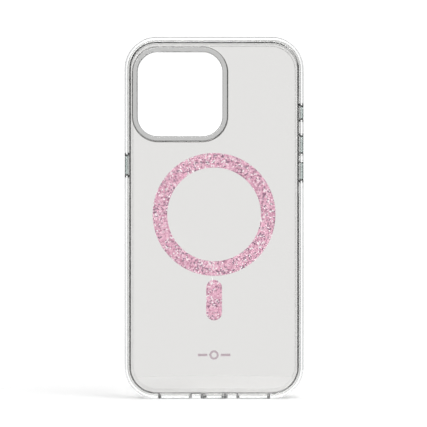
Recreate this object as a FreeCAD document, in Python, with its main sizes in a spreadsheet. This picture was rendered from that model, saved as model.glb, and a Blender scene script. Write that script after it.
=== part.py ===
import FreeCAD, Part
import math
import os

import Sketcher

# A clear hybrid phone case for a 6.7 inch phone: a hard back plate, a soft bumper moulded round
# its edge, a raised camera guard, four push buttons and a ring and a bar of magnets under
# glitter film. It stands on its bottom edge: +Z is up, -Y is the outer back, +Y the open
# screen side, and the origin is the centre of the bounding box's base. Millimetres.

DRIVING = {
    # The phone that the case is made for, and the room left round it
    "phone_wide": 76.7,
    "phone_tall": 159.9,
    "phone_deep": 8.25,
    "phone_room": 0.1,
    "cavity_corner": 12.0,
    # Bumper: wall beside the phone, wall at its ends, lip over the screen's edge
    "side_wall": 2.4,
    "end_wall": 2.6,
    "lip_thick": 1.2,
    "lip_over": 1.1,
    "lip_round": 0.45,
    "back_round": 1.4,
    "front_round": 1.4,
    # Back plate and the tongue that locks it into the bumper
    "plate_thick": 2.0,
    "tongue_reach": 1.1,
    "tongue_thick": 0.8,
    # Camera guard
    "guard_wide": 43.2,
    "guard_tall": 42.9,
    "guard_corner": 11.5,
    "guard_wall": 2.3,
    "guard_rise": 2.6,
    "guard_mid_x": -15.5,
    "guard_mid_z": 138.9,
    "guard_lock": 0.4,
    "guard_outer_round": 0.9,
    "guard_inner_round": 0.7,
    # Magnet ring and bar: the pocket in the plate and the layers that fill it
    "ring_mid_z": 84.2,
    "ring_outer": 28.0,
    "ring_inner": 21.4,
    "pocket_gap": 0.05,
    "bar_wide": 7.2,
    "bar_tall": 18.4,
    "bar_mid_z": 45.1,
    "window_thick": 0.7,
    "film_thick": 0.15,
    "tape_thick": 0.1,
    "tape_inset": 0.4,
    "tray_inset": 0.2,
    "tray_thick": 0.75,
    "tray_floor": 0.15,
    "magnet_outer": 27.0,
    "magnet_inner": 22.6,
    "magnet_gap": 0.05,
    "magnet_angle": 8.8,
    "magnet_slot_angle": 9.2,
    "bar_magnet_wide": 5.6,
    "bar_magnet_tall": 7.0,
    "bar_magnet_apart": 7.6,
    # Buttons: the scoop in the bumper's side, the slot through it and the cap
    "scoop_deep": 0.8,
    "scoop_wide": 7.4,
    "left_scoop_tall": 25.4,
    "left_scoop_mid_z": 107.2,
    "right_scoop_tall": 44.8,
    "right_scoop_mid_z": 115.9,
    "web_thick": 0.6,
    "cap_wide": 3.4,
    "cap_sunk": 0.1,
    "cap_round": 0.5,
    "cap_gap": 0.15,
    "flange_over": 0.8,
    "flange_thick": 0.4,
    "flange_rest_gap": 0.05,
    "flange_side_gap": 0.2,
    # Openings in the bottom edge
    "port_wide": 12.4,
    "port_deep": 7.0,
    "sound_wide": 15.4,
    "sound_deep": 3.4,
    "sound_mid_x": 17.9,
    # Flush mark in the back
    "mark_mid_z": 20.1,
    "mark_thick": 0.15,
    "mark_ring_outer": 2.1,
    "mark_ring_inner": 1.2,
    "mark_bar_wide": 4.4,
    "mark_bar_tall": 1.1,
    "mark_bar_from": 3.05,
}

MAGNETS = 36
MAGNET_STEP = 360.0 / MAGNETS
SCOOP_TAPER = -45.0
QUARTER_TURN = math.pi / 2

# Button name, side of the case (+1 is +X), middle height and length of its cap
BUTTONS = [
    ("power_button", -1, 106.8, 9.6),
    ("action_button", 1, 130.8, 6.6),
    ("volume_up_button", 1, 116.2, 8.4),
    ("volume_down_button", 1, 103.9, 8.4),
]

FACING_FRONT = FreeCAD.Rotation(FreeCAD.Vector(1, 0, 0), -90)


class Size:
    """A length that carries its number and the expression that ties it to the spreadsheet."""

    def __init__(self, number, text):
        self.number = number
        self.text = text

    def __add__(self, other):
        other = as_size(other)
        return Size(self.number + other.number, f"({self.text} + {other.text})")

    def __sub__(self, other):
        other = as_size(other)
        return Size(self.number - other.number, f"({self.text} - {other.text})")

    def __mul__(self, factor):
        return Size(self.number * factor, f"({self.text} * {factor})")

    def __truediv__(self, divisor):
        return Size(self.number / divisor, f"({self.text} / {divisor})")

    def __neg__(self):
        return Size(-self.number, f"(0 - {self.text})")


def as_size(value):
    return value if isinstance(value, Size) else Size(value, str(value))


def cell(alias):
    return Size(DRIVING[alias], f"sizes.{alias}")


def make_sheet(doc):
    sheet = doc.addObject("Spreadsheet::Sheet", "sizes")
    for line, (alias, value) in enumerate(DRIVING.items(), start=1):
        sheet.set(f"A{line}", alias)
        sheet.set(f"B{line}", str(value))
        sheet.setAlias(f"B{line}", alias)
    doc.recompute()


doc = FreeCAD.newDocument("phone_case")
make_sheet(doc)

# Sizes and places that follow from the driving dimensions
cavity_wide = cell("phone_wide") + cell("phone_room") * 2
cavity_tall = cell("phone_tall") + cell("phone_room") * 2
cavity_deep = cell("phone_deep") + cell("phone_room")
cavity_corner = cell("cavity_corner")
outer_wide = cavity_wide + cell("side_wall") * 2
outer_tall = cavity_tall + cell("end_wall") * 2
outer_corner = cavity_corner + cell("side_wall")
middle_z = outer_tall / 2
shell_deep = cell("plate_thick") + cavity_deep + cell("lip_thick")
front_y = (shell_deep + cell("guard_rise")) / 2
guard_y = -front_y
screen_y = front_y - cell("lip_thick")
seat_y = screen_y - cavity_deep
back_y = seat_y - cell("plate_thick")
phone_mid_y = seat_y + cavity_deep / 2
groove_front_y = (seat_y + back_y) / 2 + cell("tongue_thick") / 2

film_y = back_y + cell("window_thick")
front_tape_y = film_y + cell("film_thick")
tray_y = front_tape_y + cell("tape_thick")
rear_tape_y = tray_y + cell("tray_thick")
cover_y = rear_tape_y + cell("tape_thick")
cover_thick = seat_y - cover_y
magnet_thick = cell("tray_thick") - cell("tray_floor")
magnet_y = tray_y + cell("tray_floor")

flange_pocket = cell("side_wall") - cell("scoop_deep") - cell("web_thick")
cap_length = cell("side_wall") - cell("cap_sunk")


def bind(feature, path, size):
    """Ties one property of a feature to the spreadsheet."""
    feature.setExpression(path, as_size(size).text)


def place(feature, x=0, y=0, z=0, rotation=None):
    """Puts a sub-part at a point given by sizes, turned by a plain rotation."""
    x, y, z = as_size(x), as_size(y), as_size(z)
    feature.Placement = FreeCAD.Placement(
        FreeCAD.Vector(x.number, y.number, z.number), rotation or FreeCAD.Rotation()
    )
    for axis, size in (("x", x), ("y", y), ("z", z)):
        bind(feature, f"Placement.Base.{axis}", size)


# ---- Sketches ---------------------------------------------------------------------------


def new_sketch(body, plane, across, up, height):
    """A sketch on a plane of its body's origin, its own origin moved across, up and along."""
    sketch = body.newObject("Sketcher::SketchObject", "outline")
    planes = body.Origin.OriginFeatures
    sketch.AttachmentSupport = [(next(p for p in planes if p.Role == plane), "")]
    sketch.MapMode = "FlatFace"
    for axis, size in (("x", across), ("y", up), ("z", height)):
        bind(sketch, f"AttachmentOffset.Base.{axis}", size)
    return sketch


def name_length(sketch, name, constraint, size):
    """Adds a driving constraint with a name, tied to the spreadsheet."""
    index = sketch.addConstraint(constraint)
    sketch.renameConstraint(index, name)
    bind(sketch, f"Constraints.{name}", size)


def arc(x, y, radius, start, end):
    """An arc between two directions, counted in quarter turns from the X axis."""
    circle = Part.Circle(FreeCAD.Vector(x, y, 0), FreeCAD.Vector(0, 0, 1), radius)
    return Part.ArcOfCircle(circle, start * QUARTER_TURN, end * QUARTER_TURN)


def line(x0, y0, x1, y1):
    return Part.LineSegment(FreeCAD.Vector(x0, y0, 0), FreeCAD.Vector(x1, y1, 0))


def rounded_rectangle(sketch, wide, tall, corner):
    """A rectangle with round corners, centred on the sketch's origin."""
    x, y, r = wide.number / 2, tall.number / 2, corner.number
    sketch.addGeometry(line(r - x, -y, x - r, -y))
    sketch.addGeometry(line(x, r - y, x, y - r))
    sketch.addGeometry(line(x - r, y, r - x, y))
    sketch.addGeometry(line(-x, y - r, -x, r - y))
    sketch.addGeometry(arc(x - r, r - y, r, 3, 4))
    sketch.addGeometry(arc(x - r, y - r, r, 0, 1))
    sketch.addGeometry(arc(r - x, y - r, r, 1, 2))
    sketch.addGeometry(arc(r - x, r - y, r, 2, 3))
    for side in range(4):
        sketch.addConstraint(Sketcher.Constraint("Tangent", side, 2, 4 + side, 1))
        sketch.addConstraint(
            Sketcher.Constraint("Tangent", 4 + side, 2, (side + 1) % 4, 1)
        )
        direction = "Horizontal" if side % 2 == 0 else "Vertical"
        sketch.addConstraint(Sketcher.Constraint(direction, side))
    for corner_arc in (5, 6, 7):
        sketch.addConstraint(Sketcher.Constraint("Equal", 4, corner_arc))
    sketch.addConstraint(Sketcher.Constraint("Symmetric", 0, 1, 2, 1, -1, 1))
    name_length(sketch, "corner", Sketcher.Constraint("Radius", 4, r), corner)
    name_length(
        sketch, "wide", Sketcher.Constraint("DistanceX", 3, 1, 1, 1, 2 * x), wide
    )
    name_length(
        sketch, "tall", Sketcher.Constraint("DistanceY", 0, 1, 2, 1, 2 * y), tall
    )


def stadium(sketch, wide, tall):
    """A rectangle with half-round ends along its longer side, centred on the sketch's origin."""
    upright = tall.number > wide.number
    radius, reach = (
        (wide.number / 2, (tall - wide).number / 2)
        if upright
        else (tall.number / 2, (wide - tall).number / 2)
    )
    if upright:
        sketch.addGeometry(line(radius, -reach, radius, reach))
        sketch.addGeometry(line(-radius, reach, -radius, -reach))
        sketch.addGeometry(arc(0, reach, radius, 0, 2))
        sketch.addGeometry(arc(0, -reach, radius, 2, 4))
        direction, along, across = "Vertical", "DistanceY", "DistanceX"
    else:
        sketch.addGeometry(line(-reach, -radius, reach, -radius))
        sketch.addGeometry(line(reach, radius, -reach, radius))
        sketch.addGeometry(arc(reach, 0, radius, 3, 5))
        sketch.addGeometry(arc(-reach, 0, radius, 1, 3))
        direction, along, across = "Horizontal", "DistanceX", "DistanceY"
    for side in (0, 1):
        sketch.addConstraint(Sketcher.Constraint("Tangent", side, 2, 2 + side, 1))
        sketch.addConstraint(Sketcher.Constraint("Tangent", 2 + side, 2, 1 - side, 1))
        sketch.addConstraint(Sketcher.Constraint(direction, side))
    sketch.addConstraint(Sketcher.Constraint("Symmetric", 2, 3, 3, 3, -1, 1))
    name_length(
        sketch,
        "centres",
        Sketcher.Constraint(along, 3, 3, 2, 3, 2 * reach),
        tall - wide if upright else wide - tall,
    )
    ends = (1, 1, 0, 1) if upright else (0, 1, 1, 1)
    name_length(
        sketch,
        "across",
        Sketcher.Constraint(across, *ends, 2 * radius),
        wide if upright else tall,
    )


# ---- Features ---------------------------------------------------------------------------


def new_body(label):
    body = doc.addObject("PartDesign::Body", label)
    body.Label = label
    return body


def pad(body, sketch, length, reverse=False):
    feature = body.newObject("PartDesign::Pad", "pad")
    feature.Profile = sketch
    bind(feature, "Length", length)
    feature.Reversed = reverse
    doc.recompute()
    return feature


def pocket(body, sketch, length, reverse=False, taper=0.0):
    """Cuts against the sketch's normal, or along it if reversed, and makes sure that it cut."""
    before = body.Shape.Volume
    feature = body.newObject("PartDesign::Pocket", "pocket")
    feature.Profile = sketch
    bind(feature, "Length", length)
    feature.Reversed = reverse
    feature.TaperAngle = taper
    doc.recompute()
    if body.Shape.Volume >= before:
        raise RuntimeError(f"a pocket of {body.Label} cut nothing")
    return feature


def round_edges(body, radius, chosen):
    """Fillets the edges of the body's tip that the test picks out."""
    base = body.Tip
    names = [f"Edge{n}" for n, e in enumerate(base.Shape.Edges, start=1) if chosen(e)]
    if not names:
        raise RuntimeError(f"no edge of {body.Label} to round")
    feature = body.newObject("PartDesign::Fillet", "round")
    feature.Base = (base, names)
    bind(feature, "Radius", radius)
    doc.recompute()


def lies_at_y(edge, y, within=1e-4):
    box = edge.BoundBox
    return abs(box.YMin - y) < within and abs(box.YMax - y) < within


def back_outline(body, mid_x, mid_z, y):
    """A sketch parallel to the back, at a given Y; its normal points at -Y."""
    return new_sketch(body, "XZ_Plane", mid_x, mid_z, -as_size(y))


def ring_solid(label, outer, inner, thick, y, mid_z):
    """A flat ring whose axis is Y, between y and y + thick."""
    disc = doc.addObject("Part::Cylinder", label + "_disc")
    hole = doc.addObject("Part::Cylinder", label + "_hole")
    for cylinder, radius in ((disc, outer), (hole, inner)):
        bind(cylinder, "Radius", radius)
        bind(cylinder, "Height", thick)
    ring = doc.addObject("Part::Cut", label)
    ring.Base, ring.Tool = disc, hole
    ring.Label = label
    place(ring, 0, y, mid_z, FACING_FRONT)
    return ring


def stadium_solid(label, wide, tall, thick, y, mid_z):
    """A flat stadium parallel to the back, between y and y + thick."""
    body = new_body(label)
    sketch = back_outline(body, 0, 0, 0)
    stadium(sketch, wide, tall)
    pad(body, sketch, thick, reverse=True)
    place(body, 0, y, mid_z)
    return body


# ---- Sub-parts --------------------------------------------------------------------------


def make_bumper():
    body = new_body("bumper")
    outer = back_outline(body, 0, middle_z, front_y)
    rounded_rectangle(outer, outer_wide, outer_tall, outer_corner)
    pad(body, outer, shell_deep)
    round_edges(body, cell("back_round"), lambda e: lies_at_y(e, back_y.number))
    round_edges(body, cell("front_round"), lambda e: lies_at_y(e, front_y.number))

    cavity = back_outline(body, 0, middle_z, screen_y)
    rounded_rectangle(cavity, cavity_wide, cavity_tall, cavity_corner)
    pocket(body, cavity, screen_y - back_y, reverse=True)

    window = back_outline(body, 0, middle_z, screen_y)
    over = cell("lip_over")
    rounded_rectangle(
        window, cavity_wide - over * 2, cavity_tall - over * 2, cavity_corner - over
    )
    pocket(body, window, cell("lip_thick"))
    inside = (cavity_wide.number / 2, cavity_tall.number / 2)
    round_edges(
        body,
        cell("lip_round"),
        lambda e: lies_at_y(e, front_y.number) and within_outline(e, *inside),
    )

    groove = back_outline(body, 0, middle_z, groove_front_y)
    reach = cell("tongue_reach")
    rounded_rectangle(
        groove, cavity_wide + reach * 2, cavity_tall + reach * 2, cavity_corner + reach
    )
    pocket(body, groove, cell("tongue_thick"), reverse=True)

    cut_scoop(body, -1, cell("left_scoop_tall"), cell("left_scoop_mid_z"))
    cut_scoop(body, 1, cell("right_scoop_tall"), cell("right_scoop_mid_z"))
    for _, side, mid_z, length in BUTTONS:
        cut_button_seat(body, side, mid_z, length)
    cut_bottom(body, 0, cell("port_wide"), cell("port_deep"))
    for side in (-1, 1):
        mid_x = cell("sound_mid_x") * side
        cut_bottom(body, mid_x, cell("sound_wide"), cell("sound_deep"))
    return body


def within_outline(edge, half_wide, half_tall):
    """True if an edge lies inside the cavity's outline, seen from the back."""
    box = edge.BoundBox
    reach_x = max(abs(box.XMin), abs(box.XMax))
    reach_z = max(abs(box.ZMin - middle_z.number), abs(box.ZMax - middle_z.number))
    return reach_x < half_wide and reach_z < half_tall


def cut_scoop(body, side, tall, mid_z):
    """A shallow scoop with sloping ends in one side, which the caps stand in."""
    sketch = new_sketch(body, "YZ_Plane", phone_mid_y, mid_z, outer_wide / 2 * side)
    stadium(sketch, cell("scoop_wide"), tall)
    pocket(
        body, sketch, cell("scoop_deep"), reverse=side < 0, taper=SCOOP_TAPER
    )


def cut_button_seat(body, side, mid_z, length):
    """The slot that a cap slides in, and the pocket behind it for the cap's flange."""
    slot = new_sketch(body, "YZ_Plane", phone_mid_y, mid_z, outer_wide / 2 * side)
    gap = cell("cap_gap")
    stadium(slot, cell("cap_wide") + gap * 2, as_size(length) + gap * 2)
    pocket(body, slot, cell("side_wall"), reverse=side < 0)

    seat = new_sketch(body, "YZ_Plane", phone_mid_y, mid_z, cavity_wide / 2 * side)
    room = cell("flange_over") + cell("flange_side_gap")
    stadium(seat, cell("cap_wide") + room * 2, as_size(length) + room * 2)
    pocket(body, seat, flange_pocket, reverse=side > 0)


def cut_bottom(body, mid_x, wide, deep):
    """An opening with round ends through the bottom wall."""
    sketch = new_sketch(body, "XY_Plane", mid_x, phone_mid_y, 0)
    stadium(sketch, wide, deep)
    pocket(body, sketch, cell("end_wall"), reverse=True)


def make_plate(mark):
    body = new_body("plate_blank")
    slab = back_outline(body, 0, middle_z, seat_y)
    rounded_rectangle(slab, cavity_wide, cavity_tall, cavity_corner)
    pad(body, slab, cell("plate_thick"))

    tongue = back_outline(body, 0, middle_z, groove_front_y)
    reach = cell("tongue_reach")
    rounded_rectangle(
        tongue, cavity_wide + reach * 2, cavity_tall + reach * 2, cavity_corner + reach
    )
    pad(body, tongue, cell("tongue_thick"))

    cut_guard_hole(body)

    ring = back_outline(body, 0, cell("ring_mid_z"), seat_y)
    gap = cell("pocket_gap")
    centred_circle(ring, "outside", cell("ring_outer") + gap)
    centred_circle(ring, "inside", cell("ring_inner") - gap)
    pocket_deep = cell("plate_thick") - cell("window_thick")
    pocket(body, ring, pocket_deep, reverse=True)

    bar = back_outline(body, 0, cell("bar_mid_z"), seat_y)
    stadium(bar, cell("bar_wide") + gap * 2, cell("bar_tall") + gap * 2)
    pocket(body, bar, pocket_deep, reverse=True)

    plate = doc.addObject("Part::Cut", "back_plate")
    plate.Base, plate.Tool = body, mark
    plate.Label = "back_plate"
    return plate


def cut_guard_hole(body):
    """The camera opening, with a groove half-way through that the guard locks into."""
    wide, tall, corner = cell("guard_wide"), cell("guard_tall"), cell("guard_corner")
    hole = back_outline(body, cell("guard_mid_x"), cell("guard_mid_z"), seat_y)
    rounded_rectangle(hole, wide, tall, corner)
    pocket(body, hole, cell("plate_thick"), reverse=True)
    lock = cell("guard_lock")
    groove = back_outline(
        body, cell("guard_mid_x"), cell("guard_mid_z"), groove_front_y
    )
    rounded_rectangle(groove, wide + lock * 2, tall + lock * 2, corner + lock)
    pocket(body, groove, cell("tongue_thick"), reverse=True)


def centred_circle(sketch, name, radius):
    """A circle on the sketch's origin."""
    circle = Part.Circle(
        FreeCAD.Vector(0, 0, 0), FreeCAD.Vector(0, 0, 1), radius.number
    )
    index = sketch.addGeometry(circle)
    sketch.addConstraint(Sketcher.Constraint("Coincident", index, 3, -1, 1))
    name_length(
        sketch, name, Sketcher.Constraint("Radius", index, radius.number), radius
    )


def make_camera_guard():
    wide, tall, corner = cell("guard_wide"), cell("guard_tall"), cell("guard_corner")
    wall, lock = cell("guard_wall"), cell("guard_lock")
    mid = (cell("guard_mid_x"), cell("guard_mid_z"))
    body = new_body("camera_guard")
    outside = back_outline(body, *mid, seat_y)
    rounded_rectangle(outside, wide, tall, corner)
    pad(body, outside, seat_y - guard_y)
    round_edges(
        body, cell("guard_outer_round"), lambda e: lies_at_y(e, guard_y.number)
    )
    flange = back_outline(body, *mid, groove_front_y)
    rounded_rectangle(flange, wide + lock * 2, tall + lock * 2, corner + lock)
    pad(body, flange, cell("tongue_thick"))
    inside = back_outline(body, *mid, seat_y)
    rounded_rectangle(inside, wide - wall * 2, tall - wall * 2, corner - wall)
    pocket(body, inside, seat_y - guard_y, reverse=True)
    mid_x, half = mid[0].number, wide.number / 2 - wall.number + 0.01
    round_edges(
        body,
        cell("guard_inner_round"),
        lambda e: lies_at_y(e, guard_y.number)
        and e.BoundBox.XMin > mid_x - half
        and e.BoundBox.XMax < mid_x + half,
    )
    return body


def make_button(label, side, mid_z, length):
    """A cap with a flange behind it, made pointing at +X from the cavity's wall."""
    body = new_body(label)
    inner_face = flange_pocket - cell("flange_rest_gap") - cell("flange_thick")
    flange = new_sketch(body, "YZ_Plane", 0, 0, inner_face)
    over = cell("flange_over")
    stadium(flange, cell("cap_wide") + over * 2, as_size(length) + over * 2)
    pad(body, flange, cell("flange_thick"))
    cap = new_sketch(body, "YZ_Plane", 0, 0, inner_face)
    stadium(cap, cell("cap_wide"), as_size(length))
    pad(body, cap, cap_length - inner_face)
    tip = cap_length.number
    round_edges(body, cell("cap_round"), lambda e: abs(e.BoundBox.XMin - tip) < 1e-4)
    turn = FreeCAD.Rotation(FreeCAD.Vector(0, 0, 1), 0 if side > 0 else 180)
    place(body, cavity_wide / 2 * side, phone_mid_y, mid_z, turn)
    return body


def make_ring_layers():
    """Film, tape, tray, tape and cover, from the back towards the phone."""
    outer, inner, mid_z = cell("ring_outer"), cell("ring_inner"), cell("ring_mid_z")
    inset, tape = cell("tape_inset"), cell("tape_thick")
    film = (outer, inner, cell("film_thick"), film_y, mid_z)
    front_tape = (outer - inset, inner + inset, tape, front_tape_y, mid_z)
    rear_tape = (outer - inset, inner + inset, tape, rear_tape_y, mid_z)
    cover = (outer, inner, cover_thick, cover_y, mid_z)
    return [
        ring_solid("glitter_ring", *film),
        ring_solid("ring_front_tape", *front_tape),
        ring_solid("ring_rear_tape", *rear_tape),
        ring_solid("ring_cover", *cover),
        make_ring_tray(),
    ]


def make_ring_tray():
    """The ring that holds the magnets, one slot for each."""
    inset, gap = cell("tray_inset"), cell("magnet_gap")
    body = new_body("magnet_tray")
    ring = back_outline(body, 0, 0, 0)
    centred_circle(ring, "outside", cell("ring_outer") - inset)
    centred_circle(ring, "inside", cell("ring_inner") + inset)
    pad(body, ring, cell("tray_thick"), reverse=True)
    slot = back_outline(body, 0, 0, cell("tray_thick"))
    sector(
        slot,
        cell("magnet_inner") - gap,
        cell("magnet_outer") + gap,
        cell("magnet_slot_angle"),
    )
    cut = pocket(body, slot, magnet_thick, reverse=True)
    ring_of_slots = body.newObject("PartDesign::PolarPattern", "slots")
    ring_of_slots.Originals = [cut]
    ring_of_slots.Axis = (slot, ["N_Axis"])
    ring_of_slots.Angle = 360
    ring_of_slots.Occurrences = MAGNETS
    body.Tip = ring_of_slots
    place(body, 0, tray_y, cell("ring_mid_z"))
    return body


def sector(sketch, inner, outer, angle):
    """A piece of a ring about the sketch's origin, centred on its X axis."""
    half = math.radians(angle.number / 2)
    ends = (-half / QUARTER_TURN, half / QUARTER_TURN)
    sketch.addGeometry(arc(0, 0, inner.number, *ends))
    sketch.addGeometry(arc(0, 0, outer.number, *ends))
    for end in (1, 2):
        near, far = (sketch.getPoint(g, end) for g in (0, 1))
        sketch.addGeometry(line(near.x, near.y, far.x, far.y))
    for g in (0, 1):
        sketch.addConstraint(Sketcher.Constraint("Coincident", g, 3, -1, 1))
    for side, end in ((2, 1), (3, 2)):
        sketch.addConstraint(Sketcher.Constraint("Coincident", side, 1, 0, end))
        sketch.addConstraint(Sketcher.Constraint("Coincident", side, 2, 1, end))
        sketch.addConstraint(Sketcher.Constraint("PointOnObject", -1, 1, side))
    sketch.addConstraint(Sketcher.Constraint("Symmetric", 1, 1, 1, 2, -1))
    name_length(
        sketch, "inner", Sketcher.Constraint("Radius", 0, inner.number), inner
    )
    name_length(
        sketch, "outer", Sketcher.Constraint("Radius", 1, outer.number), outer
    )
    turn = Sketcher.Constraint("Angle", 2, 1, 3, 1, 2 * half)
    index = sketch.addConstraint(turn)
    sketch.renameConstraint(index, "angle")
    sketch.setExpression("Constraints.angle", f"{angle.text} * 1 deg")


def make_magnets():
    """One piece of ring for each magnet, all cut from the same two cylinders."""
    wedge = doc.addObject("Part::Cylinder", "magnet_wedge")
    core = doc.addObject("Part::Cylinder", "magnet_core")
    bind(wedge, "Radius", cell("magnet_outer"))
    bind(core, "Radius", cell("magnet_inner"))
    for cylinder in (wedge, core):
        bind(cylinder, "Height", magnet_thick)
    wedge.setExpression("Angle", "sizes.magnet_angle * 1 deg")
    magnets = []
    for number in range(MAGNETS):
        magnet = doc.addObject("Part::Cut", f"magnet_{number + 1:02d}")
        magnet.Base, magnet.Tool = wedge, core
        magnet.Label = f"magnet_{number + 1:02d}"
        start = number * MAGNET_STEP - DRIVING["magnet_angle"] / 2
        turn = FreeCAD.Rotation(FreeCAD.Vector(0, 0, 1), start)
        place(magnet, 0, magnet_y, cell("ring_mid_z"), FACING_FRONT * turn)
        magnets.append(magnet)
    return magnets


def make_bar_layers():
    """The same layers as the ring's, for the bar below it."""
    wide, tall, mid_z = cell("bar_wide"), cell("bar_tall"), cell("bar_mid_z")
    inset, tape = cell("tape_inset") * 2, cell("tape_thick")
    narrow, short = wide - inset, tall - inset
    return [
        stadium_solid("glitter_bar", wide, tall, cell("film_thick"), film_y, mid_z),
        stadium_solid("bar_front_tape", narrow, short, tape, front_tape_y, mid_z),
        stadium_solid("bar_rear_tape", narrow, short, tape, rear_tape_y, mid_z),
        stadium_solid("bar_cover", wide, tall, cover_thick, cover_y, mid_z),
        make_bar_tray(),
    ]


def make_bar_tray():
    inset, gap = cell("tray_inset") * 2, cell("magnet_gap") * 2
    body = stadium_solid(
        "bar_tray",
        cell("bar_wide") - inset,
        cell("bar_tall") - inset,
        cell("tray_thick"),
        tray_y,
        cell("bar_mid_z"),
    )
    for side in (-1, 1):
        up = cell("bar_magnet_apart") / 2 * side
        slot = back_outline(body, 0, up, cell("tray_thick"))
        rounded_rectangle(
            slot,
            cell("bar_magnet_wide") + gap,
            cell("bar_magnet_tall") + gap,
            Size(0.3, "0.3"),
        )
        pocket(body, slot, magnet_thick, reverse=True)
    return body


def make_bar_magnets():
    """Two block magnets, one above the other."""
    magnets = []
    for name, side in (("bar_magnet_lower", -1), ("bar_magnet_upper", 1)):
        magnet = doc.addObject("Part::Box", name)
        magnet.Label = name
        bind(magnet, "Length", cell("bar_magnet_wide"))
        bind(magnet, "Width", magnet_thick)
        bind(magnet, "Height", cell("bar_magnet_tall"))
        mid_z = cell("bar_mid_z") + cell("bar_magnet_apart") / 2 * side
        low_z = mid_z - cell("bar_magnet_tall") / 2
        place(magnet, -cell("bar_magnet_wide") / 2, magnet_y, low_z)
        magnets.append(magnet)
    return magnets


def make_mark():
    """A ring between two bars, let into the back so that it ends flush."""
    thick, mid_z = cell("mark_thick"), cell("mark_mid_z")
    pieces = [
        ring_solid(
            "mark_ring",
            cell("mark_ring_outer"),
            cell("mark_ring_inner"),
            thick,
            back_y,
            mid_z,
        )
    ]
    for name, side in (("mark_bar_left", -1), ("mark_bar_right", 1)):
        bar = doc.addObject("Part::Box", name)
        bind(bar, "Length", cell("mark_bar_wide"))
        bind(bar, "Width", thick)
        bind(bar, "Height", cell("mark_bar_tall"))
        reach = cell("mark_bar_from") + cell("mark_bar_wide")
        start = cell("mark_bar_from") if side > 0 else -reach
        place(bar, start, back_y, mid_z - cell("mark_bar_tall") / 2)
        pieces.append(bar)
    mark = doc.addObject("Part::Compound", "back_mark")
    mark.Links = pieces
    mark.Label = "back_mark"
    return mark


def check(parts):
    """Stops if a feature failed or a sub-part isn't made of valid, closed solids."""
    failed = [o.Name for o in doc.Objects if {"Invalid", "Error"} & set(o.State)]
    if failed:
        raise RuntimeError(f"features failed: {failed}")
    for part in parts:
        shape = part.Shape
        if shape.isNull() or not shape.isValid() or not shape.Solids:
            raise RuntimeError(f"{part.Label} has no valid solid")


def main():
    mark = make_mark()
    parts = [make_bumper(), make_plate(mark), make_camera_guard(), mark]
    parts += [make_button(*button) for button in BUTTONS]
    parts += make_ring_layers() + make_magnets()
    parts += make_bar_layers() + make_bar_magnets()
    doc.recompute()
    check(parts)
    os.makedirs("parts", exist_ok=True)
    for part in parts:
        part.Shape.exportStep(f"parts/{part.Label}.step")
    print(f"{len(parts)} sub-parts, outer {outer_wide.number:.2f} x", end=" ")
    print(f"{outer_tall.number:.2f} x {2 * front_y.number:.2f} mm")


main()
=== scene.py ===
import math

import bmesh
import bpy
from mathutils import Matrix, Vector


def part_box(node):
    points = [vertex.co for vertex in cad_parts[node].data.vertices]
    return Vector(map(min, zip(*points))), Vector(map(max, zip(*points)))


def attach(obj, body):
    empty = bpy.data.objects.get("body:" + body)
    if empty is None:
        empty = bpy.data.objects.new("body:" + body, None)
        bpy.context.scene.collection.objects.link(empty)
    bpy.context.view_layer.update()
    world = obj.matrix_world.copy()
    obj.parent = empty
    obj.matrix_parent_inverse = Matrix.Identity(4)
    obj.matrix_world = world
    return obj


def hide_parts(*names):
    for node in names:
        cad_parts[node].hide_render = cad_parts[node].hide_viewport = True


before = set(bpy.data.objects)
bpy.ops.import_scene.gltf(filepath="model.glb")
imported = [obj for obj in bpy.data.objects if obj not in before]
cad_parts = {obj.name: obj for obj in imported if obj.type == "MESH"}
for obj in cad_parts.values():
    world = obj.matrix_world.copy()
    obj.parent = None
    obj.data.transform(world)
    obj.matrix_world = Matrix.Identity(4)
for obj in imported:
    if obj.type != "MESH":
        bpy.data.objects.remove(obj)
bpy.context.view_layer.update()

# A clear phone case standing on its bottom edge, its back with the glitter ring to the camera.
# Metres, +Z up, -Y out of the back. What shows is remade here with moulded edges: the bumper,
# the back plate, the camera guard and the four buttons. The layers under the ring stay CAD.

MM = 0.001

# ---- Sizes: the frame's boxes, and the case's own dimensions ------------------------------

bumper_low, bumper_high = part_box("bumper")
plate_low, plate_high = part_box("back_plate")
guard_low, guard_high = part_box("camera_guard")
ring_low, ring_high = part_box("glitter_ring")
bar_low, bar_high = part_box("glitter_bar")
mark_low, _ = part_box("back_mark")

OUTER_HALF = bumper_high.x
FRONT_Y = bumper_high.y
BACK_Y = plate_low.y
SEAT_Y = plate_high.y
GUARD_Y = guard_low.y
MID_Z = (bumper_low.z + bumper_high.z) / 2

SIDE_WALL = 2.4 * MM
END_WALL = 2.6 * MM
CAVITY_HALF_WIDE = OUTER_HALF - SIDE_WALL
CAVITY_HALF_TALL = bumper_high.z - MID_Z - END_WALL
CAVITY_CORNER = 12.0 * MM
BACK_ROUND = 1.4 * MM
FRONT_ROUND = 1.4 * MM
LIP_THICK = 1.2 * MM
LIP_OVER = 1.1 * MM
SCREEN_Y = FRONT_Y - LIP_THICK
PHONE_MID_Y = (SEAT_Y + SCREEN_Y) / 2

TONGUE_REACH = plate_high.x - CAVITY_HALF_WIDE
TONGUE_THICK = 0.8 * MM
TONGUE_MID_Y = (BACK_Y + SEAT_Y) / 2
BOND_GAP = 0.02 * MM
# The open seam on the back, between the bumper and the plate
SEAM_DEEP = 0.42 * MM
SEAM_OUTWARD = 0.2 * MM
SEAM_INWARD = 0.42 * MM
TONGUE_ROUND = 0.36 * MM

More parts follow.
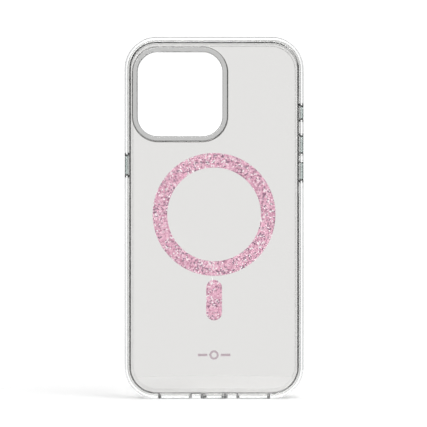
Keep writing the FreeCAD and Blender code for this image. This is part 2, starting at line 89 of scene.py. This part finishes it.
GUARD_LOCK = 0.4 * MM
GUARD_HALF_WIDE = (guard_high.x - guard_low.x) / 2 - GUARD_LOCK
GUARD_HALF_TALL = (guard_high.z - guard_low.z) / 2 - GUARD_LOCK
GUARD_MID_X = (guard_low.x + guard_high.x) / 2
GUARD_MID_Z = (guard_low.z + guard_high.z) / 2
GUARD_CORNER = 11.5 * MM
GUARD_WALL = 2.3 * MM

# The pockets for the ring and the bar, and the air between their floors and the film
RING_BAND = 6.6 * MM
POCKET_GAP = 0.05 * MM
FILM_AIR = 0.02 * MM

SCOOP_DEEP = 0.8 * MM
SCOOP_WIDE = 7.4 * MM
SCOOP_SLOPE = 0.55 * MM
SCOOPS = {-1: (107.2 * MM, 25.4 * MM), 1: (115.9 * MM, 44.8 * MM)}
CAP_GAP = 0.15 * MM
FLANGE_OVER = 0.8 * MM
FLANGE_THICK = 0.4 * MM
FLANGE_SIDE_GAP = 0.2 * MM
FLANGE_POCKET = 1.0 * MM
BUTTONS = ("power_button", "action_button", "volume_up_button", "volume_down_button")

PORT = (0.0, 12.4 * MM, 7.0 * MM)
SOUND_SLOTS = [(side * 17.9 * MM, 15.4 * MM, 3.4 * MM) for side in (-1, 1)]

# How far a cutter reaches past the face that it cuts through
PAST = 1.0 * MM
# Steps round a quarter of a large corner, and the angle from which an edge stays sharp
CORNER_STEPS = 28
SHARP_ANGLE = 38
PLASTIC_IOR = 1.5

# Lit backdrops behind the case: turn from +Y towards +X and degrees below level
BACKDROPS = [(0, 1), (-45, 25), (-90, 3), (135, 15)]
# Each is white out to the first angle, pale to the second, and has a dark flag round it to the
# third, so that the bent edges of clear plastic show as lines
WHITE, PALE, FLAG = 11, 21.5, 52
PALE_LEVEL, FLAG_LEVEL = 0.78, 0.1
# The rest of the studio, behind the case and on the camera's side
BEHIND_LEVEL, BEFORE_LEVEL = 0.5, 0.83
STUDIO_STRENGTH = 1.15

# The floor's disc lies evenly before and behind the plate, so that its far edge and the near
# edge's reflection in the plate fall together
FLOOR_RADIUS = 0.115
FLOOR_MID_Y = (BACK_Y + SEAT_Y) / 2


# ---- Outlines and the solids swept along them ---------------------------------------------


def round_outline(half_wide, half_tall, corner, spacing, corner_steps, fine=None):
    """Points (u, v, normal u, normal v) round a rectangle with round corners, about (0, 0).

    fine is (from, to, spacing): a stretch of v that gets closer points on the long sides.
    """
    points = []

    def straight(start, end, normal):
        length = math.dist(start, end)
        if length < 1e-9:
            return
        stations = {0.0, length}
        stations.update(k * spacing for k in range(1, int(length / spacing)))
        if fine and normal[0]:
            low, high, close = fine
            stations = {s for s in stations if not low < station_v(s, start, end) < high}
            count = int((high - low) / close)
            for k in range(count + 1):
                v = low + (high - low) * k / count
                stations.add(abs(v - start[1]))
        for s in sorted(stations)[:-1]:
            t = s / length
            u = start[0] + (end[0] - start[0]) * t
            v = start[1] + (end[1] - start[1]) * t
            points.append((u, v, *normal))

    def station_v(s, start, end):
        return start[1] + s * (1 if end[1] > start[1] else -1)

    def turn(u, v, first):
        for k in range(corner_steps):
            angle = math.radians(first + 90 * k / corner_steps)
            c, s = math.cos(angle), math.sin(angle)
            points.append((u + corner * c, v + corner * s, c, s))

    wide, tall = half_wide - corner, half_tall - corner
    straight((half_wide, -tall), (half_wide, tall), (1, 0))
    turn(wide, tall, 0)
    straight((wide, half_tall), (-wide, half_tall), (0, 1))
    turn(-wide, tall, 90)
    straight((-half_wide, tall), (-half_wide, -tall), (-1, 0))
    turn(-wide, -tall, 180)
    straight((-wide, -half_tall), (wide, -half_tall), (0, -1))
    turn(wide, -tall, 270)
    return points


def circle_outline(radius, steps):
    angles = [math.tau * k / steps for k in range(steps)]
    return [
        (radius * math.cos(a), radius * math.sin(a), math.cos(a), math.sin(a))
        for a in angles
    ]


def bend(centre_out, centre_w, radius, first, last, steps=6):
    """Profile points along an arc, angles in degrees from the outward direction."""
    angles = [math.radians(first + (last - first) * k / steps) for k in range(steps + 1)]
    return [
        (centre_out + radius * math.cos(a), centre_w + radius * math.sin(a))
        for a in angles
    ]


def on_back(mid_x, mid_z):
    """Places an outline parallel to the back: its depth runs along Y."""
    return lambda u, v, w: Vector((mid_x + u, w, mid_z + v))


def on_side(mid_y, mid_z):
    """Places an outline parallel to a side: its depth runs along X."""
    return lambda u, v, w: Vector((w, mid_y + u, mid_z + v))


def on_base(mid_x, mid_y):
    """Places an outline parallel to the bottom edge: its depth runs along Z."""
    return lambda u, v, w: Vector((mid_x + u, mid_y + v, w))


def mesh_object(name, bm):
    bmesh.ops.recalc_face_normals(bm, faces=bm.faces)
    mesh = bpy.data.meshes.new(name)
    bm.to_mesh(mesh)
    bm.free()
    piece = bpy.data.objects.new(name, mesh)
    bpy.context.scene.collection.objects.link(piece)
    return piece


def swept(name, outline, profile, place, band):
    """A solid from a profile of (outward, depth) points carried round an outline.

    A band's profile is closed on itself; otherwise the first and last ring are capped.
    """
    bm = bmesh.new()
    rings = [
        [bm.verts.new(place(u + nu * out, v + nv * out, w)) for u, v, nu, nv in outline]
        for out, w in profile
    ]
    pairs = list(zip(rings, rings[1:]))
    if band:
        pairs.append((rings[-1], rings[0]))
    else:
        bm.faces.new(rings[0])
        bm.faces.new(rings[-1])
    for near, far in pairs:
        for i in range(len(outline)):
            bm.faces.new((near[i - 1], near[i], far[i], far[i - 1]))
    return mesh_object(name, bm)


def cut(piece, cutters):
    """Takes the cutters out of a piece and removes them."""
    for cutter in cutters:
        modifier = piece.modifiers.new("cut", "BOOLEAN")
        modifier.object = cutter
        modifier.operation = "DIFFERENCE"
        modifier.solver = "EXACT"
        apply_modifiers(piece)
        bpy.data.objects.remove(cutter)


def apply_modifiers(piece):
    graph = bpy.context.evaluated_depsgraph_get()
    mesh = bpy.data.meshes.new_from_object(piece.evaluated_get(graph))
    old = piece.data
    piece.modifiers.clear()
    piece.data = mesh
    bpy.data.meshes.remove(old)
    mesh.name = piece.name


def smooth(piece):
    """Smooth shading but for sharp edges, with flat faces kept flat beside small roundings."""
    mesh = piece.data
    mesh.polygons.foreach_set("use_smooth", [True] * len(mesh.polygons))
    mesh.set_sharp_from_angle(angle=math.radians(SHARP_ANGLE))
    weighted = piece.modifiers.new("flat_faces", "WEIGHTED_NORMAL")
    weighted.keep_sharp = True
    weighted.weight = 80


# ---- Pieces --------------------------------------------------------------------------------


def scoop_depth(side, y, z):
    """How far the outer wall is pressed in at a point, for a stadium with soft slopes."""
    mid_z, tall = SCOOPS[side]
    radius = SCOOP_WIDE / 2
    along = max(abs(z - mid_z) - (tall / 2 - radius), 0.0)
    inside = (radius - math.hypot(y - PHONE_MID_Y, along)) / SCOOP_SLOPE
    t = min(max(inside, 0.0), 1.0)
    return SCOOP_DEEP * t * t * (3 - 2 * t)


def bumper_profile():
    groove_back = TONGUE_MID_Y - TONGUE_THICK / 2
    groove_front = TONGUE_MID_Y + TONGUE_THICK / 2
    wall_rows = 30
    wall_from, wall_to = BACK_Y + BACK_ROUND, FRONT_Y - FRONT_ROUND
    lip_in, lip_round, under_round = -LIP_OVER, 0.25 * MM, 0.1 * MM
    inner_round = 0.1 * MM
    points = [(0, BACK_Y + SEAM_DEEP), (SEAM_OUTWARD, BACK_Y)]
    points += bend(SIDE_WALL - BACK_ROUND, wall_from, BACK_ROUND, 270, 360, 12)
    points += [
        (SIDE_WALL, wall_from + (wall_to - wall_from) * k / wall_rows)
        for k in range(1, wall_rows)
    ]
    points += bend(SIDE_WALL - FRONT_ROUND, wall_to, FRONT_ROUND, 0, 90, 12)
    points += bend(lip_in + lip_round, FRONT_Y - lip_round, lip_round, 90, 180)
    points += bend(lip_in + under_round, SCREEN_Y + under_round, under_round, 180, 270)
    points += bend(-inner_round, SCREEN_Y - inner_round, inner_round, 90, 0)
    points += [(0, groove_front), (TONGUE_REACH, groove_front)]
    points += [(TONGUE_REACH, groove_back), (0, groove_back)]
    return points


def make_bumper():
    """The frame round the plate: its outline is finer beside the scoops, which are pressed in."""
    scoop_mid_z, scoop_tall = SCOOPS[1]
    reach = scoop_tall / 2 + 1.0 * MM
    mid = scoop_mid_z - MID_Z
    outline = round_outline(
        CAVITY_HALF_WIDE,
        CAVITY_HALF_TALL,
        CAVITY_CORNER,
        2.0 * MM,
        CORNER_STEPS,
        (mid - reach, mid + reach, 0.4 * MM),
    )
    piece = swept(
        "bumper_moulding", outline, bumper_profile(), on_back(0, MID_Z), band=True
    )
    end_extra = END_WALL - SIDE_WALL
    skin = 0.2 * MM
    for vertex in piece.data.vertices:
        p = vertex.co
        out = abs(p.z - MID_Z) - CAVITY_HALF_TALL
        if out > 0:
            p.z += math.copysign(end_extra * out / SIDE_WALL, p.z - MID_Z)
        if abs(p.x) > OUTER_HALF - skin:
            side = 1 if p.x > 0 else -1
            p.x -= side * scoop_depth(side, p.y, p.z)
    cutters = [button_cutter(name) for name in BUTTONS]
    cutters += [base_cutter(*PORT, 0.5 * MM)]
    cutters += [base_cutter(*slot, 0.35 * MM) for slot in SOUND_SLOTS]
    cut(piece, cutters)
    return piece


def button_shape(name):
    """(side, middle height, half length and half width of the cap) of a button."""
    low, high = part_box(name)
    side = 1 if high.x > 0 else -1
    half_long = (high.z - low.z) / 2 - FLANGE_OVER
    half_wide = (high.y - low.y) / 2 - FLANGE_OVER
    return side, (low.z + high.z) / 2, half_long, half_wide


def button_cutter(name):
    """The room for a cap, with a rounded mouth, and behind it the pocket for its flange."""
    side, mid_z, half_long, half_wide = button_shape(name)
    floor = OUTER_HALF - SCOOP_DEEP
    mouth, above, behind = 0.2 * MM, 1.2 * MM, 0.3 * MM
    pocket_front = CAVITY_HALF_WIDE + FLANGE_POCKET
    room = FLANGE_OVER + FLANGE_SIDE_GAP
    profile = [(CAP_GAP + mouth, floor + above)]
    profile += bend(CAP_GAP + mouth, floor - mouth, mouth, 90, 180, 4)
    profile += [(CAP_GAP, pocket_front), (room, pocket_front)]
    profile += [(room, CAVITY_HALF_WIDE - behind)]
    outline = round_outline(half_wide, half_long, half_wide, 1.0 * MM, 12)
    return swept(
        name + "_room",
        outline,
        [(out, side * x) for out, x in profile],
        on_side(PHONE_MID_Y, mid_z),
        band=False,
    )


def base_cutter(mid_x, wide, deep, mouth):
    """An opening through the bottom wall with a rounded mouth on its outside."""
    radius = deep / 2
    above = 0.4 * MM
    profile = [(mouth, -PAST)]
    profile += bend(mouth, mouth, mouth, 270, 180, 6)
    profile += [(0, END_WALL + above)]
    outline = round_outline(wide / 2, radius, radius, 1.0 * MM, 14)
    return swept(
        "base_room", outline, profile, on_base(mid_x, PHONE_MID_Y), band=False
    )


def make_plate():
    """The clear back: its edge is a tongue, and it has rooms for the guard, ring, bar and mark."""
    groove_back = TONGUE_MID_Y - TONGUE_THICK / 2 + BOND_GAP
    groove_front = TONGUE_MID_Y + TONGUE_THICK / 2 - BOND_GAP
    reach = TONGUE_REACH - BOND_GAP
    profile = [(0, SEAT_Y), (0, groove_front)]
    tip = reach - TONGUE_ROUND
    profile += bend(tip, groove_front - TONGUE_ROUND, TONGUE_ROUND, 90, 0)
    profile += bend(tip, groove_back + TONGUE_ROUND, TONGUE_ROUND, 0, -90)
    profile += [(0, groove_back), (0, BACK_Y + SEAM_DEEP), (-SEAM_INWARD, BACK_Y)]
    outline = round_outline(
        CAVITY_HALF_WIDE - BOND_GAP,
        CAVITY_HALF_TALL - BOND_GAP,
        CAVITY_CORNER - BOND_GAP,
        6.0 * MM,
        CORNER_STEPS,
    )
    piece = swept("back_plate_moulding", outline, profile, on_back(0, MID_Z), band=False)
    cut(piece, [guard_room(), ring_room(), bar_room()] + mark_rooms())
    return piece


def guard_outline():
    return round_outline(
        GUARD_HALF_WIDE, GUARD_HALF_TALL, GUARD_CORNER, 4.0 * MM, CORNER_STEPS
    )


def guard_room():
    """The opening in the plate that the guard is moulded into."""
    mouth = 0.05 * MM
    groove_back = TONGUE_MID_Y - TONGUE_THICK / 2
    groove_front = TONGUE_MID_Y + TONGUE_THICK / 2
    profile = [(mouth, BACK_Y - PAST)]
    profile += bend(mouth, BACK_Y + mouth, mouth, 270, 180, 4)
    profile += [(0, groove_back), (GUARD_LOCK, groove_back)]
    profile += [(GUARD_LOCK, groove_front), (0, groove_front)]
    profile += [(0, SEAT_Y + PAST)]
    return swept(
        "guard_room", guard_outline(), profile, on_back(GUARD_MID_X, GUARD_MID_Z), False
    )


def ring_room():
    """The pocket for the ring, its floor a hair clear of the film."""
    outer = (ring_high.x - ring_low.x) / 2 + POCKET_GAP
    inner = outer - RING_BAND - 2 * POCKET_GAP
    floor = ring_low.y - FILM_AIR
    above = SEAT_Y + PAST
    profile = [(outer, floor), (outer, above), (inner, above), (inner, floor)]
    mid_z = (ring_low.z + ring_high.z) / 2
    return swept("ring_room", circle_outline(0, 128), profile, on_back(0, mid_z), True)


def bar_room():
    """The pocket for the bar, like the ring's."""
    half_wide = (bar_high.x - bar_low.x) / 2 + POCKET_GAP
    half_tall = (bar_high.z - bar_low.z) / 2 + POCKET_GAP
    profile = [(0, bar_low.y - FILM_AIR), (0, SEAT_Y + PAST)]
    outline = round_outline(half_wide, half_tall, half_wide, 2.0 * MM, 24)
    mid_z = (bar_low.z + bar_high.z) / 2
    return swept("bar_room", outline, profile, on_back(0, mid_z), False)


def mark_rooms():
    """Shallow beds for the flush mark, cut with a copy of the mark itself."""
    bed = bpy.data.objects.new("mark_room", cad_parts["back_mark"].data.copy())
    bpy.context.scene.collection.objects.link(bed)
    bm = bmesh.new()
    bm.from_mesh(bed.data)
    bmesh.ops.remove_doubles(bm, verts=bm.verts, dist=1e-6)
    near, out = 0.01 * MM, 0.5 * MM
    for vertex in bm.verts:
        if vertex.co.y < mark_low.y + near:
            vertex.co.y -= out
    bm.to_mesh(bed.data)
    bm.free()
    return [bed]


def make_guard():
    """The raised ring round the camera opening, with its flange in the plate."""
    groove_back = TONGUE_MID_Y - TONGUE_THICK / 2 + BOND_GAP
    groove_front = TONGUE_MID_Y + TONGUE_THICK / 2 - BOND_GAP
    lock = GUARD_LOCK - BOND_GAP
    outer_round, inner_round, edge = 0.55 * MM, 0.45 * MM, 0.1 * MM
    inside, outside = -GUARD_WALL, -BOND_GAP
    profile = bend(inside + inner_round, GUARD_Y + inner_round, inner_round, 180, 270, 10)
    profile += bend(outside - outer_round, GUARD_Y + outer_round, outer_round, 270, 360, 12)
    profile += [(outside, groove_back), (lock, groove_back)]
    profile += [(lock, groove_front), (outside, groove_front)]
    profile += bend(outside - edge, SEAT_Y - edge, edge, 0, 90, 3)
    profile += bend(inside + edge, SEAT_Y - edge, edge, 90, 180, 3)
    place = on_back(GUARD_MID_X, GUARD_MID_Z)
    return swept("camera_guard_moulding", guard_outline(), profile, place, band=True)


def make_button(name):
    """A cap with a domed, rounded top and a flange behind the wall."""
    side, mid_z, half_long, half_wide = button_shape(name)
    low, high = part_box(name)
    inner = min(abs(low.x), abs(high.x))
    tip = max(abs(low.x), abs(high.x))
    flange_front = inner + FLANGE_THICK
    edge, top_round, crown = 0.1 * MM, 0.55 * MM, 0.12 * MM
    profile = [(FLANGE_OVER - 3 * edge, inner)]
    profile += bend(FLANGE_OVER - edge, inner + edge, edge, -90, 0, 3)
    profile += bend(FLANGE_OVER - edge, flange_front - edge, edge, 0, 90, 3)
    profile += [(0, flange_front)]
    profile += bend(-top_round, tip - crown - top_round, top_round, 0, 80, 8)
    dome_rows = 4
    for row in range(1, dome_rows + 1):
        t = row / (dome_rows + 0.5)
        inward = (half_wide - top_round) * t
        profile.append((-top_round - inward, tip - crown * (1 - t) ** 2))
    outline = round_outline(half_wide, half_long, half_wide, 1.0 * MM, 16)
    return swept(
        name + "_cap",
        outline,
        [(out, side * x) for out, x in profile],
        on_side(PHONE_MID_Y, mid_z),
        band=False,
    )


# ---- Materials ------------------------------------------------------------------------------


def new_material(name):
    material = bpy.data.materials.new(name)
    material.use_nodes = True
    nodes, links = material.node_tree.nodes, material.node_tree.links
    return material, nodes, links, nodes["Principled BSDF"]


def add(nodes, kind, **settings):
    """A node with its properties, and its sockets by name with spaces as underscores."""
    node = nodes.new(kind)
    for key, value in settings.items():
        if hasattr(node, key):
            setattr(node, key, value)
        else:
            node.inputs[key.replace("_", " ")].default_value = value
    return node


def clear_plastic(name, tint, roughness, absorb, density, wave, lamps):
    """Polished clear plastic: wavy moulded skin, faint wear, and a body tint by thickness.

    lamps is the share of a lamp's light that each surface lets through.
    """
    material, nodes, links, shader = new_material(name)
    place = add(nodes, "ShaderNodeTexCoord").outputs["Object"]
    shader.inputs["Base Color"].default_value = (*tint, 1)
    shader.inputs["Transmission Weight"].default_value = 1.0
    shader.inputs["IOR"].default_value = PLASTIC_IOR
    smears = add(nodes, "ShaderNodeTexNoise", Scale=55.0, Detail=6.0, Roughness=0.6)
    spread = add(nodes, "ShaderNodeMapRange", From_Min=0.35, From_Max=0.7)
    spread.inputs["To Min"].default_value = roughness
    spread.inputs["To Max"].default_value = roughness * 2.2
    links.new(place, smears.inputs["Vector"])
    links.new(smears.outputs["Fac"], spread.inputs["Value"])
    links.new(spread.outputs["Result"], shader.inputs["Roughness"])
    ripples = add(nodes, "ShaderNodeTexNoise", Scale=90.0, Detail=2.0)
    bump = add(nodes, "ShaderNodeBump", Strength=wave, Distance=0.00002)
    links.new(place, ripples.inputs["Vector"])
    links.new(ripples.outputs["Fac"], bump.inputs["Height"])
    links.new(bump.outputs["Normal"], shader.inputs["Normal"])
    lamp_rays = add(nodes, "ShaderNodeLightPath").outputs["Is Shadow Ray"]
    open_way = add(nodes, "ShaderNodeBsdfTransparent")
    open_way.inputs["Color"].default_value = (lamps, lamps, lamps, 1)
    surface = add(nodes, "ShaderNodeMixShader")
    links.new(lamp_rays, surface.inputs[0])
    links.new(shader.outputs["BSDF"], surface.inputs[1])
    links.new(open_way.outputs["BSDF"], surface.inputs[2])
    links.new(surface.outputs["Shader"], nodes["Material Output"].inputs["Surface"])
    body = add(nodes, "ShaderNodeVolumeAbsorption", Density=density)
    body.inputs["Color"].default_value = (*absorb, 1)
    links.new(body.outputs["Volume"], nodes["Material Output"].inputs["Volume"])
    return material


def glitter(name):
    """Pink film packed with flakes: each flake has its own colour, tilt and shine, and the
    near-white flakes are painted glints.
    """
    material, nodes, links, shader = new_material(name)
    place = add(nodes, "ShaderNodeTexCoord").outputs["Object"]

    def flakes(size):
        cells = add(nodes, "ShaderNodeTexVoronoi", Scale=1 / size, Randomness=1.0)
        links.new(place, cells.inputs["Vector"])
        return cells

    def channel(cells, index):
        split = add(nodes, "ShaderNodeSeparateColor")
        links.new(cells.outputs["Color"], split.inputs["Color"])
        return split.outputs[index]

    def palette(stops):
        ramp = add(nodes, "ShaderNodeValToRGB")
        ramp.color_ramp.interpolation = "CONSTANT"
        for index, (position, colour) in enumerate(stops):
            elements = ramp.color_ramp.elements
            stop = elements[index] if index < 2 else elements.new(position)
            stop.position = position
            stop.color = (*colour, 1)
        return ramp

    coarse, fine = flakes(0.95 * MM), flakes(0.55 * MM)
    # Flake colours differ at random; the near-white stops at the top of both palettes are painted
    # glints, not a flake colour.
    big = palette(
        [
            (0.0, (0.36, 0.19, 0.28)),
            (0.14, (0.62, 0.31, 0.43)),
            (0.34, (0.80, 0.43, 0.57)),
            (0.62, (0.90, 0.55, 0.68)),
            (0.84, (0.96, 0.70, 0.81)),
            (0.93, (1.0, 0.95, 0.98)),
        ]
    )
    small = palette(
        [
            (0.0, (0.34, 0.24, 0.32)),
            (0.16, (0.70, 0.38, 0.51)),
            (0.44, (0.86, 0.50, 0.64)),
            (0.80, (0.97, 0.68, 0.80)),
            (0.90, (1.0, 0.97, 1.0)),
        ]
    )
    links.new(channel(coarse, 0), big.inputs["Fac"])
    links.new(channel(fine, 1), small.inputs["Fac"])
    over = add(nodes, "ShaderNodeMath", operation="GREATER_THAN")
    over.inputs[1].default_value = 0.5
    links.new(channel(fine, 0), over.inputs[0])
    blend = add(nodes, "ShaderNodeMix", data_type="RGBA")
    links.new(over.outputs["Value"], blend.inputs["Factor"])
    links.new(big.outputs["Color"], blend.inputs["A"])
    links.new(small.outputs["Color"], blend.inputs["B"])
    links.new(blend.outputs["Result"], shader.inputs["Base Color"])

    shine = add(nodes, "ShaderNodeMapRange", From_Min=0.6, From_Max=1.0)
    shine.inputs["To Max"].default_value = 0.35
    links.new(channel(fine, 2), shine.inputs["Value"])
    links.new(shine.outputs["Result"], shader.inputs["Metallic"])
    gloss = add(nodes, "ShaderNodeMapRange", To_Min=0.22, To_Max=0.5)
    links.new(channel(coarse, 1), gloss.inputs["Value"])
    links.new(gloss.outputs["Result"], shader.inputs["Roughness"])

    tilt = add(nodes, "ShaderNodeBump", Strength=0.35, Distance=0.0001)
    links.new(channel(fine, 0), tilt.inputs["Height"])
    links.new(tilt.outputs["Normal"], shader.inputs["Normal"])
    return material


def grained(name, colour, darker, roughness, grain, metal=0.0):
    """An opaque finish with mottled colour and a fine grain, for liners, tape, ink and metal."""
    material, nodes, links, shader = new_material(name)
    place = add(nodes, "ShaderNodeTexCoord").outputs["Object"]
    shader.inputs["Metallic"].default_value = metal
    mottle = add(nodes, "ShaderNodeTexNoise", Scale=0.35 / grain, Detail=5.0)
    tone = add(nodes, "ShaderNodeMix", data_type="RGBA")
    tone.inputs["A"].default_value = (*darker, 1)
    tone.inputs["B"].default_value = (*colour, 1)
    links.new(place, mottle.inputs["Vector"])
    links.new(mottle.outputs["Fac"], tone.inputs["Factor"])
    links.new(tone.outputs["Result"], shader.inputs["Base Color"])
    spread = add(nodes, "ShaderNodeMapRange", To_Min=roughness * 0.8, To_Max=roughness * 1.25)
    links.new(mottle.outputs["Fac"], spread.inputs["Value"])
    links.new(spread.outputs["Result"], shader.inputs["Roughness"])
    speck = add(nodes, "ShaderNodeTexNoise", Scale=1 / grain, Detail=3.0)
    bump = add(nodes, "ShaderNodeBump", Strength=0.25, Distance=grain * 0.15)
    links.new(place, speck.inputs["Vector"])
    links.new(speck.outputs["Fac"], bump.inputs["Height"])
    links.new(bump.outputs["Normal"], shader.inputs["Normal"])
    return material


def dress(piece, material):
    piece.data.materials.clear()
    piece.data.materials.append(material)


# ---- Stage ----------------------------------------------------------------------------------


def make_floor():
    bm = bmesh.new()
    middle = Matrix.Translation((0, FLOOR_MID_Y, 0))
    bmesh.ops.create_circle(
        bm, cap_ends=True, segments=96, radius=FLOOR_RADIUS, matrix=middle
    )
    floor = mesh_object("floor", bm)
    material, nodes, links, shader = new_material("floor_paper")
    place = add(nodes, "ShaderNodeTexCoord").outputs["Object"]
    mottle = add(nodes, "ShaderNodeTexNoise", Scale=30.0, Detail=4.0)
    tone = add(nodes, "ShaderNodeMapRange")
    tone.inputs["To Min"].default_value = 0.852
    tone.inputs["To Max"].default_value = 0.872
    links.new(place, mottle.inputs["Vector"])
    links.new(mottle.outputs["Fac"], tone.inputs["Value"])
    links.new(tone.outputs["Result"], shader.inputs["Base Color"])
    shader.inputs["Roughness"].default_value = 0.8
    shader.inputs["Specular IOR Level"].default_value = 0.1
    dress(floor, material)


def make_world():
    """A dim studio with a lit backdrop behind the case from each side that it is seen from."""
    world = bpy.data.worlds.new("studio")
    world.use_nodes = True
    bpy.context.scene.world = world
    nodes, links = world.node_tree.nodes, world.node_tree.links
    place = add(nodes, "ShaderNodeTexCoord").outputs["Generated"]
    split = add(nodes, "ShaderNodeSeparateXYZ")
    links.new(place, split.inputs["Vector"])

    def ramp(value, start, end, low, high):
        node = add(nodes, "ShaderNodeMapRange", From_Min=start, From_Max=end)
        node.inputs["To Min"].default_value = low
        node.inputs["To Max"].default_value = high
        links.new(value, node.inputs["Value"])
        return node.outputs["Result"]

    def joined(operation, one, other):
        node = add(nodes, "ShaderNodeMath", operation=operation)
        links.new(one, node.inputs[0])
        links.new(other, node.inputs[1])
        return node.outputs["Value"]

    def cosine(angle):
        return math.cos(math.radians(angle))

    level = ramp(split.outputs["Y"], 0.5, 0.0, BEHIND_LEVEL, BEFORE_LEVEL)
    lit = []
    for turn, down in BACKDROPS:
        turn, down = math.radians(turn), math.radians(down)
        toward = (
            math.sin(turn) * math.cos(down),
            math.cos(turn) * math.cos(down),
            -math.sin(down),
        )
        near = add(nodes, "ShaderNodeVectorMath", operation="DOT_PRODUCT")
        near.inputs[1].default_value = toward
        links.new(place, near.inputs[0])
        near = near.outputs["Value"]
        lit.append(ramp(near, cosine(WHITE + 2), cosine(WHITE), 0, 1))
        lit.append(ramp(near, cosine(PALE + 1.5), cosine(PALE), 0, PALE_LEVEL))
        flag = ramp(near, cosine(FLAG), cosine(FLAG + 6), FLAG_LEVEL, 1)
        level = joined("MULTIPLY", level, flag)
    for window in lit:
        level = joined("MAXIMUM", level, window)
    background = nodes["Background"]
    links.new(level, background.inputs["Color"])
    background.inputs["Strength"].default_value = STUDIO_STRENGTH


def add_sun(name, toward, spread, strength):
    """A large far light: it shines along a direction and its disc is spread degrees wide."""
    light = bpy.data.lights.new(name, "SUN")
    light.angle = math.radians(spread)
    light.energy = strength
    lamp = bpy.data.objects.new(name, light)
    bpy.context.scene.collection.objects.link(lamp)
    lamp.rotation_euler = Vector(toward).to_track_quat("-Z", "Y").to_euler()


def make_camera():
    """Square on to the back, at the height and distance that frame the case."""
    view_wide, distance = 0.195, 0.8
    aim_x, aim_up = -0.27 * MM, 1.95 * MM
    data = bpy.data.cameras.new("camera")
    data.sensor_width = 36.0
    data.lens = data.sensor_width * distance / view_wide
    camera = bpy.data.objects.new("camera", data)
    bpy.context.scene.collection.objects.link(camera)
    camera.location = (aim_x, BACK_Y + BACK_ROUND - distance, MID_Z + aim_up)
    camera.rotation_euler = (math.radians(90), 0, 0)
    bpy.context.scene.camera = camera


# ---- Assembly -------------------------------------------------------------------------------


def main():
    tpu = clear_plastic(
        "clear_bumper",
        tint=(1, 1, 1),
        roughness=0.02,
        absorb=(0.80, 0.83, 0.82),
        density=22.0,
        wave=0.08,
        lamps=0.35,
    )
    plate = clear_plastic(
        "clear_plate",
        tint=(0.725, 0.72, 0.71),
        roughness=0.02,
        absorb=(0.9, 0.9, 0.9),
        density=8.0,
        wave=0.05,
        lamps=1.0,
    )
    guard = clear_plastic(
        "clear_guard",
        tint=(0.53, 0.53, 0.525),
        roughness=0.02,
        absorb=(0.80, 0.80, 0.80),
        density=40.0,
        wave=0.05,
        lamps=0.8,
    )
    cap = clear_plastic(
        "clear_button",
        tint=(0.86, 0.90, 0.89),
        roughness=0.03,
        absorb=(0.6, 0.68, 0.66),
        density=200.0,
        wave=0.1,
        lamps=0.8,
    )
    film = glitter("glitter_film")
    liner = grained("liner", (0.86, 0.85, 0.85), (0.80, 0.79, 0.79), 0.5, 0.25 * MM)
    tape = grained("tape", (0.78, 0.78, 0.75), (0.7, 0.7, 0.67), 0.6, 0.2 * MM)
    tray = grained("tray", (0.8, 0.8, 0.79), (0.75, 0.75, 0.74), 0.45, 0.3 * MM)
    metal = grained("magnet", (0.72, 0.70, 0.67), (0.6, 0.58, 0.56), 0.28, 0.15 * MM, 1.0)
    ink = grained("ink", (0.42, 0.34, 0.37), (0.34, 0.28, 0.31), 0.45, 0.12 * MM)

    made = [
        (make_bumper(), "bumper", "case", tpu, "clear_bumper"),
        (make_plate(), "back_plate", "case", plate, "clear_plate"),
        (make_guard(), "camera_guard", "case", guard, "clear_guard"),
    ]
    made += [(make_button(name), name, name, cap, "clear_button") for name in BUTTONS]
    for piece, node, body, material, slot in made:
        smooth(piece)
        dress(piece, material)
        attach(piece, body)
        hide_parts(node)

    # CAD nodes that show keep their shape; the longest fitting start of a name counts
    finishes = {
        "glitter_": film,
        "ring_": tape,
        "ring_cover": liner,
        "magnet_": metal,
        "magnet_tray": tray,
        "bar_": tape,
        "bar_cover": liner,
        "bar_tray": tray,
        "bar_magnet": metal,
        "back_mark": ink,
    }
    for name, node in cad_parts.items():
        fitting = [start for start in finishes if name.startswith(start)]
        if fitting:
            node.material_slots[0].material = finishes[max(fitting, key=len)]

    make_floor()
    make_world()
    add_sun("key", (-0.5, 0.45, -1.0), 40, 1.3)
    add_sun("top", (0.2, -0.5, -1.0), 50, 0.5)
    add_sun("front", (0.2, 1.0, -0.45), 30, 1.35)
    make_camera()
    bpy.context.scene.view_settings.view_transform = "Standard"


main()
